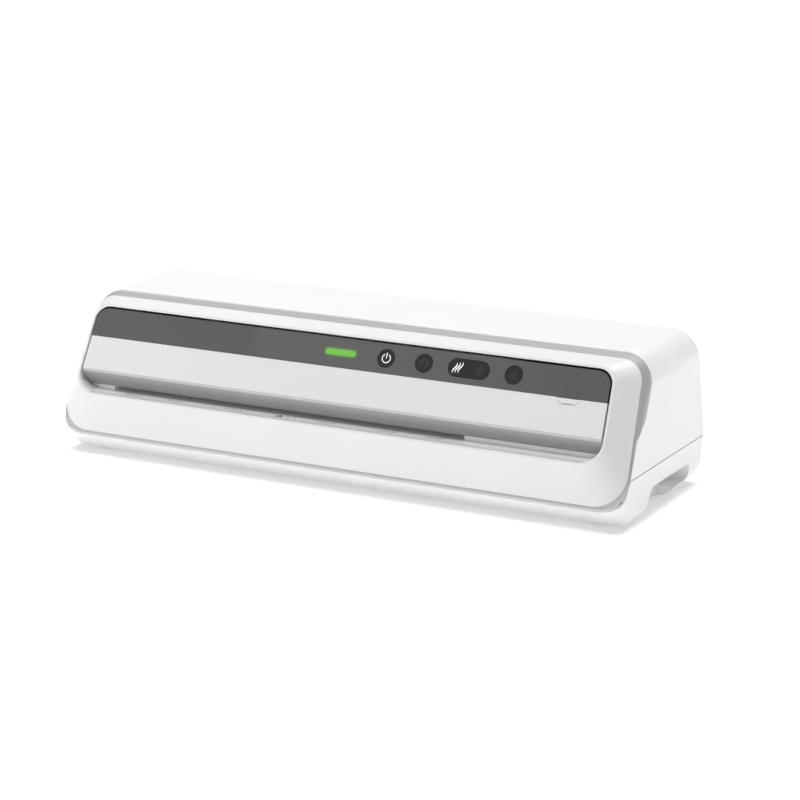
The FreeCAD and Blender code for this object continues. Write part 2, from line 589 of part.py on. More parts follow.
def make_bearing_blocks(y):
    """The pair of blocks that let an upper roller rise against its springs."""
    blocks = []
    for x0 in (LEFT_PLATE_X, RIGHT_PLATE_X):
        core = box(x0, x0 + PLATE_T, y - BLOCK_HALF, y + BLOCK_HALF, BLOCK_BOTTOM, BLOCK_TOP)
        outside = x0 + PLATE_T + SLIDE_GAP if x0 > 0 else x0 - SLIDE_GAP - 1.8
        inside = x0 - SLIDE_GAP - 1.8 if x0 > 0 else x0 + PLATE_T + SLIDE_GAP
        cheeks = [box(outside, outside + 1.8, y - 11, y + 11, BLOCK_BOTTOM + 2, BLOCK_TOP),
                  box(inside, inside + 1.8, y - 11, y + 11, BLOCK_BOTTOM + 2, BLOCK_TOP)]
        near, far = sorted((outside, inside))
        bridge = box(near, far + 1.8, y - 5, y + 5, BLOCK_BOTTOM + 2, BLOCK_TOP)
        bore = rod(JOURNAL_R + RUNNING, x0 - 6, x0 + 8, y, UPPER_AXIS_Z)
        blocks.append(fuse(core, bridge, *cheeks).cut(bore))
    return group(blocks)


def make_springs(y):
    """Compression springs between each bearing block and the beam above it."""
    coils = []
    wire, coil_r = 0.9, 2.9
    length = BEAM_Z - BLOCK_TOP - 2 * wire - 0.1
    for x0 in (LEFT_PLATE_X, RIGHT_PLATE_X):
        path = Part.makeHelix(length / 3.5, length, coil_r)
        profile = Part.Wire(Part.makeCircle(wire, V(coil_r, 0, 0), V(0, 1, 0)))
        coil = Part.Wire(path).makePipeShell([profile], True, True)
        coil.translate(V(x0 + PLATE_T / 2, y, BLOCK_TOP + wire + 0.05))
        coils.append(coil)
    return group(coils)


def make_spring_beam(y):
    """A channel that rests in a notch of each side plate and holds the springs down."""
    beam = box(LEFT_PLATE_X - 5, RIGHT_PLATE_X + PLATE_T + 5, y - 7, y + 7, BEAM_Z, BEAM_Z + 4)
    cuts = [box(LEFT_PLATE_X + 8, RIGHT_PLATE_X - 6, y - 5.4, y + 5.4, BEAM_Z - 1, BEAM_Z + 2.4)]
    for x in (LEFT_PLATE_X, RIGHT_PLATE_X):
        for y0, y1 in ((y - 20, y - BLOCK_HALF + 0.1), (y + BLOCK_HALF - 0.1, y + 20)):
            cuts.append(box(x - 0.05, x + PLATE_T + 0.05, y0, y1, BEAM_Z - 1, BEAM_Z + 2.1))
    return beam.cut(group(cuts))


def make_tie_bar(y):
    return rod(4.0, LEFT_PLATE_X + PLATE_T, RIGHT_PLATE_X, y, 22)


def make_core(y, z):
    return fuse(rod(CORE_R, SLEEVE_X[0] - 1, SLEEVE_X[1] + 1, y, z),
                rod(JOURNAL_R, LEFT_PLATE_X - 4, GEAR_X + GEAR_W + 0.5, y, z))


def make_sleeve(y, z):
    sleeve = rod(ROLLER_R, *SLEEVE_X, y, z).cut(rod(CORE_R, SLEEVE_X[0] - 1, SLEEVE_X[1] + 1, y, z))
    return rounded(sleeve, 0.8,
                   lambda e: e.BoundBox.ZLength > 2 * ROLLER_R - 0.1 and e.BoundBox.XLength < 0.1)


# ---------------------------------------------------------------- heaters, guides and sensors
def make_heat_shoe(upper):
    """An aluminium shoe that wraps a third of a hot roller, with its flat mica heater on the back."""
    y, z = roller_axes()["front_upper" if upper else "front_lower"]
    x0, x1 = SLEEVE_X[0] + 3, SLEEVE_X[1] - 3
    sign = 1 if upper else -1
    block = box(x0, x1, y - 11, y + 11, min(z, z + sign * 20), max(z, z + sign * 20))
    block = block.cut(rod(ROLLER_R + 1.6, x0 - 1, x1 + 1, y, z))
    near, far = sorted((z + sign * 9, z + sign * 20))
    return block.common(box(x0, x1, y - 12, y + 12, near, far))


def make_middle_guide(upper):
    level = PATH_Z + 1.8 if upper else PATH_Z - 3.0
    lift = 3.0 if upper else -3.0
    y0, y1 = FRONT_AXIS_Y + 12.5, REAR_AXIS_Y - 12.5
    plate = box(SLOT_X[0] - 2, SLOT_X[1] + 2, y0, y1, level, level + 1.2)
    low, high = sorted((level, level + lift))
    rib = box(SLOT_X[0] - 2, SLOT_X[1] + 2, y0 + 9, y0 + 12, low, high + 1.2)
    tabs = [box(x, x + w, y0 + 9, y0 + 12, low, high + 1.2)
            for x, w in ((LEFT_PLATE_X + PLATE_T, 12.0), (RIGHT_PLATE_X - 12.0, 12.0))]
    return fuse(plate, rib, *tabs)


def make_thermal_sensors():
    z = UPPER_AXIS_Z + 20
    return group([post(5.0, -60, FRONT_AXIS_Y, z, z + 4), post(5.0, -20, FRONT_AXIS_Y, z, z + 4),
                  box(20, 30, FRONT_AXIS_Y - 3, FRONT_AXIS_Y + 3, z, z + 2.5)])


def make_heat_shield():
    """Sheet-metal hood over the rollers that keeps the heat off the cover."""
    x0, x1 = LEFT_PLATE_X - 6, RIGHT_PLATE_X + 6
    outer = prism_x([(-44, 101, 0), (60, 101, 0), (60, 108, 5), (-34, 108, 5)], x0, x1)
    inner = prism_x([(-46, 99, 0), (59.2, 99, 0), (59.2, 107.2, 4.2), (-33.6, 107.2, 4.2)], x0 - 1, x1 + 1)
    hood = outer.cut(inner)
    legs = [box(x, x + 1.0, 59.2, 60, 98.2, 101.2) for x in (LEFT_PLATE_X - 5, RIGHT_PLATE_X + 4)]
    return fuse(hood, *legs)


def make_pouch_sensor():
    """Light barrier under the slot that feels a pouch arrive."""
    return fuse(box(-41, -33, -50, -44, TABLE_Z - 9, TABLE_Z - 2.2),
                box(-43, -31, -51, -43, TABLE_Z - 10.2, TABLE_Z - 9))


def make_exit_frame():
    """Frame let into the cover's rear wall, with the guide that carries the pouch out."""
    x0, x1 = SLOT_X[0] - 5.6, SLOT_X[1] + 5.6
    body = box(x0, x1, 57.5, REAR_Y + 0.2, PATH_Z - 8.6, PATH_Z + 8.6)
    lip = box(x0 - 3, x1 + 3, REAR_Y + 0.1, REAR_LIP_Y, PATH_Z - 11.5, PATH_Z + 11.5)
    slot = box(SLOT_X[0], SLOT_X[1], 40, 95, PATH_Z - 3.6, PATH_Z + 3.6)
    flare = prism_x([(81, PATH_Z - 3.6, 0), (93, PATH_Z - 9.6, 0),
                     (93, PATH_Z + 9.6, 0), (81, PATH_Z + 3.6, 0)], *SLOT_X)
    inside = box(x0 + 2, x1 - 2, 50, 76, PATH_Z - 10, PATH_Z - 5.6)
    inside_top = box(x0 + 2, x1 - 2, 50, 76, PATH_Z + 5.6, PATH_Z + 10)
    return fuse(body, lip).cut(group([slot, inside, inside_top])).cut(flare)


# ---------------------------------------------------------------- gear train and motor
def compound_place():
    y, z = idler_place()
    return y, z + (SMALL_TEETH + ROLLER_TEETH) / 2 * MODULE


def idler_place():
    middle = (FRONT_AXIS_Y + REAR_AXIS_Y) / 2
    reach = ROLLER_TEETH * MODULE
    return middle, LOWER_AXIS_Z - math.sqrt(reach ** 2 - (middle - FRONT_AXIS_Y) ** 2)


def motor_place():
    y, z = compound_place()
    reach = (LARGE_TEETH + PINION_TEETH) / 2 * MODULE
    angle = math.radians(50)
    return y + reach * math.cos(angle), z + reach * math.sin(angle)


def mesh_phase(place_a, teeth_a, phase_a, place_b, teeth_b):
    """The angle of a tooth of gear B that is in mesh with gear A."""
    toward = math.atan2(place_b[1] - place_a[1], place_b[0] - place_a[0])
    return toward + math.pi - (phase_a - toward) * teeth_a / teeth_b + math.pi / teeth_b


def involute(angle):
    return math.tan(angle) - angle


def make_gear(teeth, x0, width, place, phase, bore):
    """A spur gear with involute flanks and short addenda."""
    pitch_r = teeth * MODULE / 2
    base_r = pitch_r * math.cos(PRESSURE)
    tip_r, root_r = pitch_r + 0.82 * MODULE, pitch_r - 1.08 * MODULE
    half_tooth = math.pi / 2 / teeth - BACKLASH / 2 / pitch_r
    flank = [root_r] if root_r < base_r else []
    start = max(base_r, root_r)
    flank += [start + (tip_r - start) * i / 4 for i in range(5)]
    points = []
    for tooth in range(teeth):
        centre = phase + 2 * math.pi * tooth / teeth
        for side, radii in ((-1, flank), (1, flank[::-1])):
            for r in radii:
                lean = involute(PRESSURE) - involute(math.acos(min(1.0, base_r / r)))
                angle = centre + side * (half_tooth + lean)
                points.append(V(x0, place[0] + r * math.cos(angle), place[1] + r * math.sin(angle)))
    blank = Part.Face(Part.makePolygon(points + points[:1])).extrude(V(width, 0, 0))
    return blank.cut(rod(bore, x0 - 1, x0 + width + 1, *place))


def gear_phases():
    """Phase of every gear, each set in mesh with the one that drives it."""
    axes = roller_axes()
    phases = {"front_lower": math.pi / 2}
    places = dict(axes, idler=idler_place(), small=compound_place(), large=compound_place(),
                  pinion=motor_place())
    teeth = dict.fromkeys(axes, ROLLER_TEETH)
    teeth.update(idler=ROLLER_TEETH, small=SMALL_TEETH, large=LARGE_TEETH, pinion=PINION_TEETH)
    for driver, driven in (("front_lower", "front_upper"), ("front_lower", "idler"), ("idler", "rear_lower"),
                           ("rear_lower", "rear_upper"), ("idler", "small")):
        phases[driven] = mesh_phase(places[driver], teeth[driver], phases[driver],
                                    places[driven], teeth[driven])
    phases["large"] = 0.0
    phases["pinion"] = mesh_phase(places["large"], LARGE_TEETH, 0.0, places["pinion"], PINION_TEETH)
    return phases


def make_compound_gear(phases):
    place = compound_place()
    small = make_gear(SMALL_TEETH, GEAR_X, GEAR_W + 1.2, place, phases["small"], 2.0 + RUNNING)
    large = make_gear(LARGE_TEETH, DRIVE_X, DRIVE_W, place, phases["large"], 2.0 + RUNNING)
    return fuse(small, large)


def make_stub_axles():
    idler_y, idler_z = idler_place()
    axles = [rod(2.0, RIGHT_PLATE_X + PLATE_T, DRIVE_X + DRIVE_W + 3, *compound_place()),
             rod(2.0, RIGHT_PLATE_X + PLATE_T, GEAR_X + GEAR_W + 1, idler_y, idler_z)]
    return group([fuse(a, rod(4.0, RIGHT_PLATE_X + PLATE_T, GEAR_X - 0.4, c.y, c.z))
                  for a in axles for c in [a.CenterOfMass]])


def make_gear_motor():
    y, z = motor_place()
    can = rounded(rod(18, 168, 208, y, z), 1.5, lambda e: e.BoundBox.XMin > 207)
    head, end_cap, spigot = rod(20, 162.6, 168.1, y, z), rod(5, 208, 211, y, z), rod(4, 160.8, 162.7, y, z)
    return fuse(can, head, end_cap, spigot).cut(rod(2.6, 150, 175, y, z))


def make_motor_bracket():
    y, z = motor_place()
    plate = prism_x([(y - 22, 56, 3), (66, 56, 3), (66, 113, 3), (y - 22, 113, 3)], 161.0, 162.5)
    plate = plate.cut(rod(4.1, 158, 165, y, z))
    posts = [rod(3.0, RIGHT_PLATE_X + PLATE_T, 161.0, 58, 60 + 28 * i) for i in range(2)]
    return fuse(plate, *posts)


def make_motor_pinion(phases):
    y, z = motor_place()
    gear = make_gear(PINION_TEETH, DRIVE_X - 0.3, DRIVE_W + 0.6, (y, z), phases["pinion"], 2.4)
    return fuse(gear, rod(2.4, DRIVE_X - 0.3, 172, y, z))


# ---------------------------------------------------------------- wiring
def cord(points, radius, arc_share=0.45):
    """A round cable along straight runs joined by tangent arcs."""
    edges = []
    last = points[0]
    for i in range(1, len(points) - 1):
        corner = points[i]
        back, ahead = points[i - 1] - corner, points[i + 1] - corner
        reach = arc_share * min(back.Length, ahead.Length)
        p, q = corner + back.normalize() * reach, corner + ahead.normalize() * reach
        half = back.getAngle(ahead) / 2
        arc_r = reach * math.tan(half)
        middle = corner + (back + ahead).normalize() * (arc_r / math.sin(half) - arc_r)
        edges.append(Part.LineSegment(last, p).toShape())
        edges.append(Part.Arc(p, middle, q).toShape())
        last = q
    edges.append(Part.LineSegment(last, points[-1]).toShape())
    path = Part.Wire(edges)
    ring = Part.Wire(Part.makeCircle(radius, points[0], points[1] - points[0]))
    return path.makePipeShell([ring], True, False)


def make_mains_lead():
    return group([cord([V(x, 57.95, z), V(x, 53, z), V(x, 53, 13.65)], 1.0) for x, z in pin_places()])


def make_motor_lead():
    y, z = motor_place()
    return cord([V(211, y, z), V(220, y, z), V(228, y - 8, z - 8), V(230, y - 20, z - 24),
                 V(222, y - 34, z - 36), V(205, y - 44, z - 30), V(195, y - 55, z - 20),
                 V(190.3, y - 62.5, z - 10)], 1.4)


# ---------------------------------------------------------------- build
def build():
    phases = gear_phases()
    parts["base_tray"] = make_base_tray()
    parts["top_cover"] = make_top_cover()
    parts["front_bezel"] = make_front_bezel()
    parts["accent_trim"] = make_accent_trim()
    parts["control_strip"] = make_control_strip()
    parts["entry_panel"] = make_entry_panel()
    parts["pouch_guide_lower"] = make_pouch_guide_lower()
    parts["latch_tab"] = make_latch_tab()
    parts["light_bar"] = make_light_bar()
    for name, x in ROUND_KEYS.items():
        parts["key_" + name] = make_round_key(x)
    parts["key_hot_cold"] = make_mode_key()
    parts["control_board"] = make_control_board()
    parts["tact_switches"] = make_tact_switches()
    parts["power_board"] = make_power_board()
    parts["power_board_parts"] = make_board_parts()
    parts["board_standoffs"] = make_board_standoffs()
    parts["power_inlet"] = make_power_inlet()
    parts["inlet_pins"] = make_inlet_pins()
    parts["rubber_feet"] = make_feet()
    parts["case_screws"] = make_case_screws()
    parts["exit_frame"] = make_exit_frame()
    parts["side_plate_left"] = make_side_plate(LEFT_PLATE_X, 1)
    parts["side_plate_right"] = make_side_plate(RIGHT_PLATE_X, -1)
    parts["lower_bushes"] = make_lower_bushes()
    for name, y in (("front", FRONT_AXIS_Y), ("rear", REAR_AXIS_Y)):
        parts[name + "_bearing_blocks"] = make_bearing_blocks(y)
        parts[name + "_springs"] = make_springs(y)
        parts[name + "_spring_beam"] = make_spring_beam(y)
    parts["tie_bars"] = group([make_tie_bar(-36), make_tie_bar(54)])
    for name, place in roller_axes().items():
        parts[name + "_core"] = make_core(*place)
        parts[name + "_sleeve"] = make_sleeve(*place)
        parts[name + "_gear"] = make_gear(ROLLER_TEETH, GEAR_X, GEAR_W, place, phases[name], JOURNAL_R)
    parts["idler_gear"] = make_gear(ROLLER_TEETH, GEAR_X, GEAR_W, idler_place(), phases["idler"],
                                    2.0 + RUNNING)
    parts["reduction_gear"] = make_compound_gear(phases)
    parts["motor_pinion"] = make_motor_pinion(phases)
    parts["gear_stub_axles"] = make_stub_axles()
    parts["gear_motor"] = make_gear_motor()
    parts["motor_bracket"] = make_motor_bracket()
    parts["heat_shoe_upper"] = make_heat_shoe(True)
    parts["heat_shoe_lower"] = make_heat_shoe(False)
    parts["middle_guide_upper"] = make_middle_guide(True)
    parts["middle_guide_lower"] = make_middle_guide(False)
    parts["thermal_sensors"] = make_thermal_sensors()
    parts["heat_shield"] = make_heat_shield()
    parts["pouch_sensor"] = make_pouch_sensor()
    parts["mains_lead"] = make_mains_lead()
    parts["motor_lead"] = make_motor_lead()


build()
os.makedirs("parts", exist_ok=True)
for name, shape in parts.items():
    shape.translate(V(0, -MIDDLE_Y, 0))
    shape.exportStep("parts/" + name + ".step")
    solids = shape.Solids
    whole = shape.isValid() and all(s.isValid() and s.Volume > 0 for s in solids)
    volume = sum(s.Volume for s in solids)
    print(f"{name:22s} solids {len(solids)}  volume {volume:10.0f}  {'ok' if whole else 'BAD'}")
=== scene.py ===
"""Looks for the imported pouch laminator: materials, printed marks, edges, floor, lights and camera."""
import bpy
import bmesh
import json
import math
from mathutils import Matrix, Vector


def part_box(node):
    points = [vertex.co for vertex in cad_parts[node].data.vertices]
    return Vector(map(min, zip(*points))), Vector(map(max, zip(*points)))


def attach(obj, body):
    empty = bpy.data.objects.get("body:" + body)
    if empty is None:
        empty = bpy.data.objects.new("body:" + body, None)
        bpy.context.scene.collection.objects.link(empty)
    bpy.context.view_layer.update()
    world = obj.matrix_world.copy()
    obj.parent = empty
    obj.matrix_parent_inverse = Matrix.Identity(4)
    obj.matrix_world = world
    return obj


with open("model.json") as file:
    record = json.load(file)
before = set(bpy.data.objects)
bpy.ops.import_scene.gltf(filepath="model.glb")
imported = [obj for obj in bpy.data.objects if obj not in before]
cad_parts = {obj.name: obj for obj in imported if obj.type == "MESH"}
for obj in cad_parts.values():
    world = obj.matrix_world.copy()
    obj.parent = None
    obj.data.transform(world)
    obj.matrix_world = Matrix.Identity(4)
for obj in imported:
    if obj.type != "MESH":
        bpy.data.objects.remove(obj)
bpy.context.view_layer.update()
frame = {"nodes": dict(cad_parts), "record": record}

nodes = frame["nodes"]
scene = bpy.context.scene
MM = 0.001

# ---------------------------------------------------------------- the leaning face
LEAN = math.radians(27.3)      # how far the front leans back
UP_FACE = Vector((0.0, math.sin(LEAN), math.cos(LEAN)))
OUT_OF_FACE = Vector((0.0, -math.cos(LEAN), math.sin(LEAN)))
STRIP_T = 2.4                  # thickness of the control strip
KEY_UP = 13.2                  # middle of the keys, above the strip's lower edge
KEY_TOP = -0.15                # key tops, behind the face
LAMP_X, LAMP_HALF = 0.0, 11.8  # middle and half length of the lamp's bright core
SPLIT_Z = 42.5 * MM            # seam between the cover and the tray
TABLE_Z = 57.7 * MM            # the flat table in front of the slot
TICK_Y = -78.9                 # line of the marks on the table
strip_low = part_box("control_strip")[0]
STRIP_FOOT = Vector((0.0, strip_low[1], strip_low[2]))
STRIP_FOOT.z += STRIP_T * MM * math.sin(LEAN)


def on_face(x, up, out=0.0):
    """A point of the face in metres, from x, height above the strip's lower edge and distance out in mm."""
    return STRIP_FOOT + Vector((x * MM, 0, 0)) + UP_FACE * (up * MM) + OUT_OF_FACE * (out * MM)


def middle_x(node):
    """The middle of a CAD node across the machine, in mm."""
    low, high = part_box(node)
    return (low[0] + high[0]) / 2 / MM


# ---------------------------------------------------------------- camera
AZIMUTH, ELEVATION = math.radians(27.84), math.radians(15.07)
LENS_MM, SENSOR_MM = 124.0, 36.0
CAMERA_AT = (1.0943, -2.0246, 0.6789)


def add_camera():
    """Looks from the front right and a little above, with a long lens."""
    back = Vector((math.sin(AZIMUTH) * math.cos(ELEVATION), -math.cos(AZIMUTH) * math.cos(ELEVATION),
                   math.sin(ELEVATION)))
    camera = bpy.data.objects.new("camera", bpy.data.cameras.new("camera"))
    camera.data.lens = LENS_MM
    camera.data.sensor_width = SENSOR_MM
    camera.data.clip_end = 60.0
    camera.location = CAMERA_AT
    camera.rotation_euler = back.to_track_quat("Z", "Y").to_euler()
    scene.collection.objects.link(camera)
    scene.camera = camera


# ---------------------------------------------------------------- material helpers
class Tree:
    """A small wrapper that builds a node tree on object coordinates, in metres."""

    def __init__(self, name):
        self.material = bpy.data.materials.new(name)
        self.material.use_nodes = True
        self.tree = self.material.node_tree
        self.shader = self.tree.nodes["Principled BSDF"]
        coordinates = self.tree.nodes.new("ShaderNodeTexCoord")
        self.where, self.normal = coordinates.outputs["Object"], coordinates.outputs["Normal"]

    def add(self, kind, settings=None, **inputs):
        node = self.tree.nodes.new("ShaderNode" + kind)
        for key, value in (settings or {}).items():
            setattr(node, key, value)
        for key, value in inputs.items():
            self.plug(node.inputs[key.replace("_", " ")], value)
        return node

    def plug(self, socket, value):
        if isinstance(value, bpy.types.NodeSocket):
            self.tree.links.new(value, socket)
        else:
            socket.default_value = value

    def stretched(self, scale):
        return self.add("Mapping", Vector=self.where, Scale=scale).outputs["Vector"]

    def noise(self, scale, detail=2.0, where=None):
        return self.add("TexNoise", Vector=where or self.where, Scale=scale, Detail=detail).outputs["Fac"]

    def remap(self, value, low, high, start=0.0, stop=1.0):
        node = self.add("MapRange", Value=value, From_Min=start, From_Max=stop, To_Min=low, To_Max=high)
        return node.outputs["Result"]

    def blend(self, fac, a, b):
        node = self.add("Mix", {"data_type": "RGBA"})
        self.plug(node.inputs[0], fac)
        self.plug(node.inputs[6], a)
        self.plug(node.inputs[7], b)
        return node.outputs[2]

    def multiply(self, colour, gain):
        node = self.add("Mix", {"data_type": "RGBA", "blend_type": "MULTIPLY"})
        self.plug(node.inputs[0], 1.0)
        self.plug(node.inputs[6], colour)
        self.plug(node.inputs[7], gain)
        return node.outputs[2]

    def along(self, direction, origin=(0, 0, 0)):
        """Distance in mm from origin along a direction, in the object's own coordinates."""
        moved = self.add("VectorMath", {"operation": "SUBTRACT"})
        self.plug(moved.inputs[0], self.where)
        self.plug(moved.inputs[1], tuple(origin))
        dot = self.add("VectorMath", {"operation": "DOT_PRODUCT"})
        self.plug(dot.inputs[0], moved.outputs[0])
        self.plug(dot.inputs[1], tuple(Vector(direction) / MM))
        return dot.outputs["Value"]

    def smooth(self, value, start, stop, low, high):
        node = self.add("MapRange", {"interpolation_type": "SMOOTHSTEP"}, Value=value, From_Min=start,
                        From_Max=stop, To_Min=low, To_Max=high)
        return node.outputs["Result"]

    def math(self, operation, a, b=0.0):
        node = self.tree.nodes.new("ShaderNodeMath")
        node.operation = operation
        self.plug(node.inputs[0], a)
        self.plug(node.inputs[1], b)
        return node.outputs[0]

    def set(self, **inputs):
        for key, value in inputs.items():
            self.plug(self.shader.inputs[key.replace("_", " ")], value)

    def bump(self, height, distance):
        self.set(Normal=self.add("Bump", Height=height, Distance=distance, Strength=1.0).outputs["Normal"])


def rgba(color, gain=1.0):
    """A colour with its brightness changed by gain, as a socket takes it."""
    return (*[min(1.0, c * gain) for c in color], 1.0)


def moulded(name, color, roughness, grain=0.000005, specular=0.5, shade=None, fill=None):
    """Injection-moulded plastic: a faint flow mottle, a fine spark-eroded grain and uneven gloss.

    shade(tree) paints shade or light into the colour by place, and fill(tree) adds painted light as a faint
    glow.
    """
    t = Tree(name)
    mottle = t.noise(9.0, 3.0)
    colour = t.blend(mottle, rgba(color, 0.965), rgba(color, 1.02))
    if shade:
        colour = t.multiply(colour, shade(t))
    t.set(Base_Color=colour)
    fine = t.noise(1400.0)
    t.set(Roughness=t.remap(fine, roughness - 0.02, roughness + 0.02, 0.3, 0.7))
    t.bump(fine, grain)
    t.shader.inputs["Specular IOR Level"].default_value = specular
    if fill:
        t.set(Emission_Color=colour, Emission_Strength=fill(t))
    return t.material


def metal(name, color, roughness, grain=(4.0, 900.0, 900.0), depth=0.000004):
    """Rolled, drawn or ground metal with fine lines along X and a slow change of tone."""
    t = Tree(name)
    lines = t.noise(1.0, 3.0, t.stretched(grain))
    tone = t.noise(22.0, 2.0)
    t.set(Base_Color=t.blend(tone, rgba(color, 0.88), rgba(color, 1.08)))
    t.set(Roughness=t.remap(lines, roughness - 0.08, roughness + 0.1, 0.3, 0.7))
    t.bump(lines, depth)
    t.shader.inputs["Metallic"].default_value = 1.0
    return t.material


def rubbery(name, color, roughness=0.7):
    """Rubber or silicone: fine cells and a film of dust."""
    t = Tree(name)
    cells = t.add("TexVoronoi", Vector=t.where, Scale=900.0).outputs["Distance"]
    dust = t.noise(60.0, 4.0)
    t.set(Base_Color=t.blend(dust, rgba(color, 0.85), rgba(color, 1.15)))
    t.set(Roughness=t.remap(dust, roughness - 0.1, roughness + 0.12, 0.3, 0.7))
    t.bump(cells, 0.00003)
    return t.material


def circuit_board(name):
    """Green solder mask over copper: blocks of close tracks, and pads."""
    t = Tree(name)
    brick = t.add("TexBrick", Vector=t.where, Scale=160.0)
    brick.inputs["Mortar Size"].default_value = 0.012
    tracks = brick.outputs["Fac"]
    pads = t.math("LESS_THAN", t.add("TexVoronoi", Vector=t.where, Scale=260.0).outputs["Distance"], 0.2)
    green = t.blend(tracks, rgba((0.012, 0.12, 0.05)), rgba((0.03, 0.2, 0.09)))
    t.set(Base_Color=t.blend(pads, green, rgba((0.6, 0.58, 0.5))))
    t.set(Roughness=t.remap(t.noise(700.0), 0.25, 0.4))
    t.bump(tracks, 0.00004)
    return t.material


# ---------------------------------------------------------------- painted light and shade by place
# Heights are in mm above the ground, and depths in mm along Y, which runs from the front to the back.
# These heights bound the painted shade on the lip's edge and underside.
LIP_EDGE_Z = (76.3, 77.0)      # where the panel's face turns into the lip's upright edge
LIP_UNDER_Z = (73.9, 74.3)     # where the edge turns into the lip's underside
LIP_DEEP_Z = 68.0              # below this the underside is at its darkest


def painted_lip_shade(t):
    """Painted shade: the lip's edge is a little darker than the face, and its underside darkens towards the
    slot.
    """
    height = t.along((0, 0, 1))
    edge = t.remap(height, 0.72, 1.0, *LIP_EDGE_Z)
    under = t.remap(height, 0.62, 1.0, *LIP_UNDER_Z)
    deep = t.remap(height, 0.78, 1.0, LIP_DEEP_Z, LIP_UNDER_Z[0])
    return t.math("MULTIPLY", t.math("MULTIPLY", edge, under), deep)


def painted_recess_shade(t):
    """Painted shade: darkens the frame's inner walls, which don't look outwards, and the table towards its
    front edge.
    """
    facing = t.add("VectorMath", {"operation": "DOT_PRODUCT"})
    t.plug(facing.inputs[0], t.normal)
    t.plug(facing.inputs[1], tuple(OUT_OF_FACE))
    outer = t.smooth(facing.outputs["Value"], 0.1, 0.35, 0.0, 1.0)
    deep = t.smooth(t.along(OUT_OF_FACE, STRIP_FOOT), -6.0, -0.8, 0.72, 1.0)
    front = t.math("MULTIPLY", on_table(t), t.smooth(t.along((0, 1, 0)), -89.0, -80.0, 1.0, 0.0))
    return t.math("MULTIPLY", t.math("MAXIMUM", outer, deep), t.remap(front, 1.0, 0.62, 0.0, 1.0))


def on_table(t):
    """One on the pouch table's upper surface, and nought elsewhere."""
    upward = t.smooth(t.add("SeparateXYZ", Vector=t.normal).outputs["Z"], 0.9, 0.98, 0.0, 1.0)
    return t.math("MULTIPLY", upward, t.smooth(t.along((0, 0, 1), (0, 0, TABLE_Z)), 0.3, 0.8, 1.0, 0.0))


def painted_table_light(t):
    """Painted light: a glow on the table's back part that rises under the lip, then fades."""
    depth = t.along((0, 1, 0))
    rise, fade = t.smooth(depth, -83.2, -78.6, 0.0, 0.24), t.smooth(depth, -76.9, -72.4, 1.0, 0.2)
    return t.math("MULTIPLY", on_table(t), t.math("MULTIPLY", rise, fade))


def painted_guide_light(t):
    """Painted light: the pale guide glows faintly, a little more towards the front."""
    return t.smooth(t.along((0, 1, 0)), -68.0, -62.0, 0.12, 0.04)


def band_painted_light(t):
    """Painted light: the band's lower run, which looks down at the bright floor, is painted paler."""
    return t.smooth(t.along((0, 0, 1)), 22.0, 50.0, 1.4, 1.0)


def painted_seam_shade(t):
    """Painted shade: the two shells darken next to the gap between them."""
    away = t.math("ABSOLUTE", t.along((0, 0, 1), (0, 0, SPLIT_Z)))
    return t.smooth(away, 0.3, 0.7, 0.7, 1.0)


def painted_strip_reflection(t):
    """Painted reflection: the smoked overlay is a little darker left of a slanting line, where a
    reflection's edge falls, and a little darker towards its right end.
    """
    across = t.along(Vector((1, 0, 0)) - UP_FACE * 0.2)
    left = t.smooth(across, -108.0, -92.0, 0.86, 1.0)
    right = t.smooth(across, 90.0, 250.0, 1.0, 0.88)
    return t.math("MULTIPLY", left, right)


# ---------------------------------------------------------------- control strip and lamp
STRIP_COLOUR = (0.118, 0.118, 0.114)
LAMP_COLOUR = (0.13, 0.52, 0.035, 1.0)
BAR_EDGE = (1.7, 4.0)          # the lit bar fades between these distances from its middle line, in mm
HALO_EDGE = (2.0, 8.0)


def from_lamp(t):
    """Distance in mm from the lamp's middle line, in the plane of the face."""
    across = t.math("ABSOLUTE", t.along((1, 0, 0), (LAMP_X * MM, 0, 0)))
    beyond = t.math("MAXIMUM", t.math("SUBTRACT", across, LAMP_HALF), 0.0)
    height = t.along(UP_FACE, on_face(0, KEY_UP))
    squares = t.math("ADD", t.math("MULTIPLY", beyond, beyond), t.math("MULTIPLY", height, height))
    return t.math("SQRT", squares)


def lit_overlay(name, roughness):
    """Smoked overlay with the lamp showing through it: a soft-edged green bar in a faint halo."""
    t = Tree(name)
    mottle = t.noise(9.0, 3.0)
    colour = t.blend(mottle, rgba(STRIP_COLOUR, 0.97), rgba(STRIP_COLOUR, 1.02))
    distance = from_lamp(t)
    bar = t.smooth(distance, *BAR_EDGE, 1.0, 0.0)
    halo = t.smooth(distance, *HALO_EDGE, 0.05, 0.0)
    # The overlay's colour carries a painted reflection edge and darkens towards its right end.
    t.set(Base_Color=t.blend(bar, t.multiply(colour, painted_strip_reflection(t)), (0.07, 0.08, 0.05, 1.0)))
    fine = t.noise(1600.0)
    t.set(Roughness=t.remap(fine, roughness - 0.04, roughness + 0.04, 0.3, 0.7))
    t.bump(fine, 0.000003)
    t.shader.inputs["Emission Color"].default_value = LAMP_COLOUR
    t.set(Emission_Strength=t.math("ADD", t.math("MULTIPLY", bar, 0.85), halo))
    return t.material


